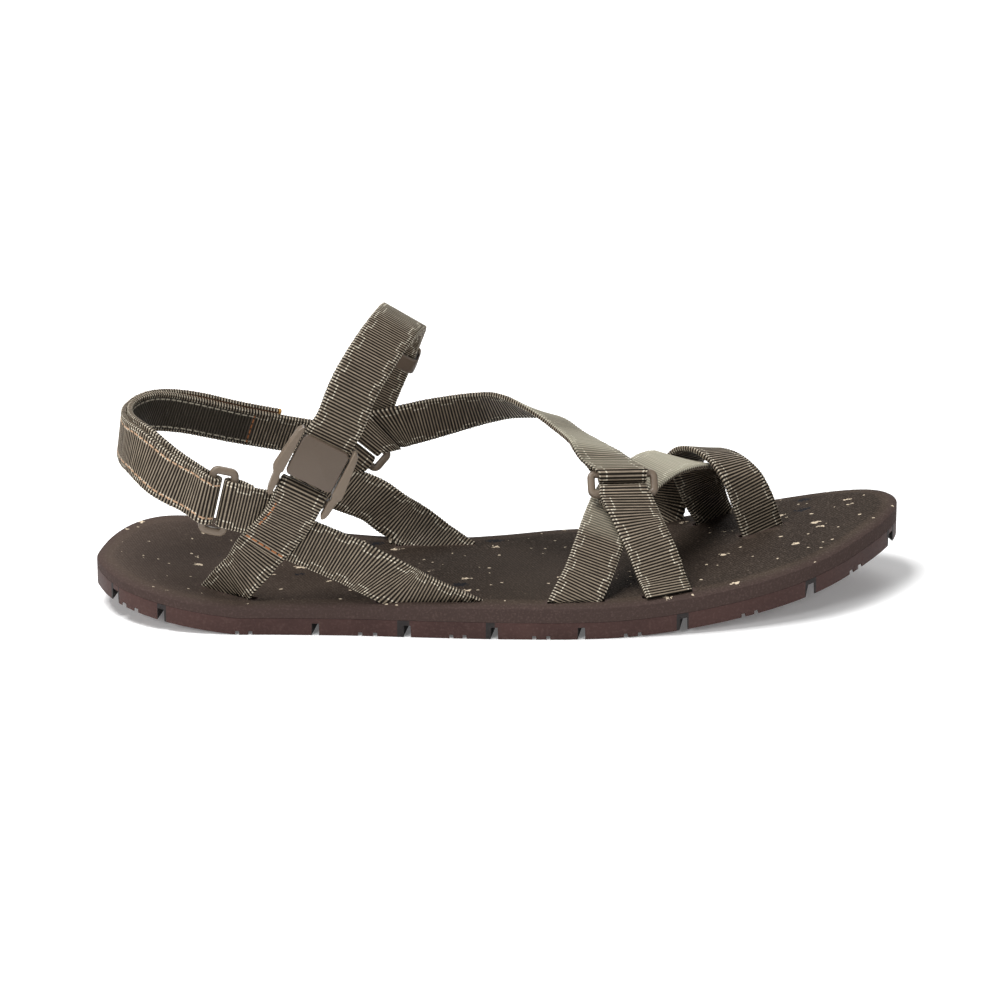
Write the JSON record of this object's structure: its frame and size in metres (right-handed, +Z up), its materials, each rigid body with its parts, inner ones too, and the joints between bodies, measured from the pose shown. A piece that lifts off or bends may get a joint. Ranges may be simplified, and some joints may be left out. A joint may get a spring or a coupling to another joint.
{
  "type": "huarache sandal",
  "caption": "Right huarache sandal with webbing straps, three rings and an ankle buckle on a thin flexible sole with toe spring and tread",
  "frame": {"origin": "on the floor under the middle of the sandal's bounding box", "axes": "+X toward the toe, +Y toward the inner (medial) side of the foot, +Z up"},
  "size_m": [0.272, 0.094, 0.1028],
  "materials": {
    "rubber": "satin",
    "footbed": "matte, fine canvas grain with cork flecks",
    "webbing": "ribbed woven webbing",
    "plastic": "satin"
  },
  "bodies": {
    "root": {"outsole": "rubber", "footbed": "footbed", "ankle_strap": "webbing", "front_leg_strap": "webbing", "heel_strap": "webbing", "instep_strap": "webbing", "lateral_strap": "webbing", "medial_strap": "webbing", "toe_base_strap": "webbing", "toe_loop": "webbing", "buckle_frame": "plastic", "buckle_plate": "plastic", "front_ring": "plastic", "heel_ring": "plastic", "keeper": "plastic", "medial_ring": "plastic"}
  },
  "joints": []
}
